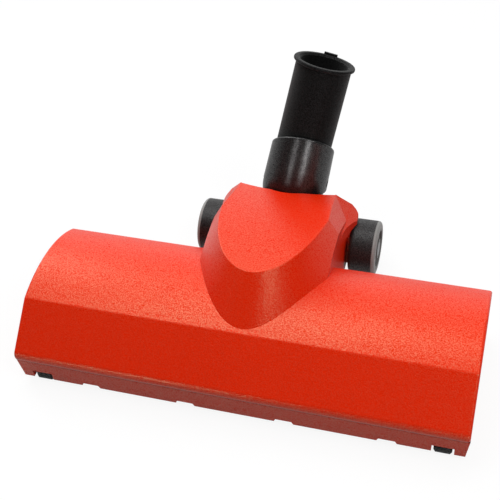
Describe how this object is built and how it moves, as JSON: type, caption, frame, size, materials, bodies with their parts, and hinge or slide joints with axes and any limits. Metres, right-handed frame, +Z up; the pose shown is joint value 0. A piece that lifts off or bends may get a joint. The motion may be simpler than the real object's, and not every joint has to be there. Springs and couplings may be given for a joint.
{
  "type": "vacuum floor brush head",
  "caption": "Wide red floor brush head with a domed turbine hood, belt-driven bristle roll, rear wheels and a tilting, swivelling black neck that takes a vacuum wand.",
  "frame": {"origin": "middle of the overall footprint, on the floor", "axes": "+X across the head to the right, +Y from the front edge to the neck, +Z up"},
  "size_m": [0.285, 0.2164, 0.1431],
  "materials": {
    "red_plastic": "fine spark-eroded grain",
    "sole_plastic": "smooth",
    "neck_plastic": "fine grain, satin",
    "black_plastic": "smooth",
    "hub_plastic": "satin gloss",
    "roller_plastic": "smooth",
    "inner_plastic": "smooth",
    "turbine_plastic": "smooth",
    "roll_plastic": "smooth",
    "bristle": "cut nylon tufts",
    "belt_rubber": "matte",
    "tyre": "satin",
    "steel": "drawn",
    "bronze": "sintered"
  },
  "bodies": {
    "housing": {"upper_housing": "red_plastic", "lower_housing": "red_plastic", "sole_plate": "sole_plastic", "housing_screws": "steel", "drive_belt": "belt_rubber", "turbine_chamber_lower": "inner_plastic", "turbine_chamber_upper": "inner_plastic", "roll_bush_left": "inner_plastic", "turbine_bearing_left": "bronze", "wheel_axle_left": "steel", "front_roller_pin_left": "steel", "roll_bush_right": "inner_plastic", "turbine_bearing_right": "bronze", "wheel_axle_right": "steel", "front_roller_pin_right": "steel"},
    "brush_roll": {"roll_core": "roll_plastic", "roll_shaft": "steel", "bristle_row_1": "bristle", "bristle_row_2": "bristle", "roll_end_cap_left": "black_plastic", "roll_end_cap_right": "black_plastic"},
    "turbine": {"turbine_wheel": "turbine_plastic", "turbine_shaft": "steel", "turbine_pinion": "turbine_plastic"},
    "tilt_joint": {"tilt_drum": "black_plastic", "swivel_washer": "steel"},
    "neck": {"neck_elbow": "neck_plastic", "neck_tube": "neck_plastic", "swivel_ring": "black_plastic"},
    "wheel_left": {"wheel_tyre_left": "tyre", "wheel_hub_left": "hub_plastic"},
    "front_roller_left": {"front_roller_left": "roller_plastic"},
    "wheel_right": {"wheel_tyre_right": "tyre", "wheel_hub_right": "hub_plastic"},
    "front_roller_right": {"front_roller_right": "roller_plastic"}
  },
  "joints": [
    {"name": "brush_spin", "type": "hinge", "parent": "housing", "child": "brush_roll", "pos_m": [0, -0.07211, 0.0225], "axis": [1, 0, 0], "continuous": true},
    {"name": "turbine_spin", "type": "hinge", "parent": "housing", "child": "turbine", "pos_m": [0, -0.01311, 0.045], "axis": [1, 0, 0], "continuous": true},
    {"name": "neck_tilt", "type": "hinge", "parent": "housing", "child": "tilt_joint", "pos_m": [0, 0.04339, 0.0394], "axis": [-1, 0, 0], "range_deg": [0, 50]},
    {"name": "neck_swivel", "type": "hinge", "parent": "tilt_joint", "child": "neck", "pos_m": [0, 0.05711, 0.05312], "axis": [0, 0.7071, 0.7071], "range_deg": [-114.3, 65.7]},
    {"name": "wheel_left_spin", "type": "hinge", "parent": "housing", "child": "wheel_left", "pos_m": [-0.0555, 0.04189, 0.019], "axis": [1, 0, 0], "continuous": true},
    {"name": "front_roller_left_spin", "type": "hinge", "parent": "housing", "child": "front_roller_left", "pos_m": [-0.1275, -0.09961, 0.0045], "axis": [1, 0, 0], "continuous": true},
    {"name": "wheel_right_spin", "type": "hinge", "parent": "housing", "child": "wheel_right", "pos_m": [0.0555, 0.04189, 0.019], "axis": [1, 0, 0], "continuous": true},
    {"name": "front_roller_right_spin", "type": "hinge", "parent": "housing", "child": "front_roller_right", "pos_m": [0.1275, -0.09961, 0.0045], "axis": [1, 0, 0], "continuous": true}
  ],
  "couplings": [
    {"joint": "turbine_spin", "follows": "brush_spin", "ratio": 2}
  ]
}
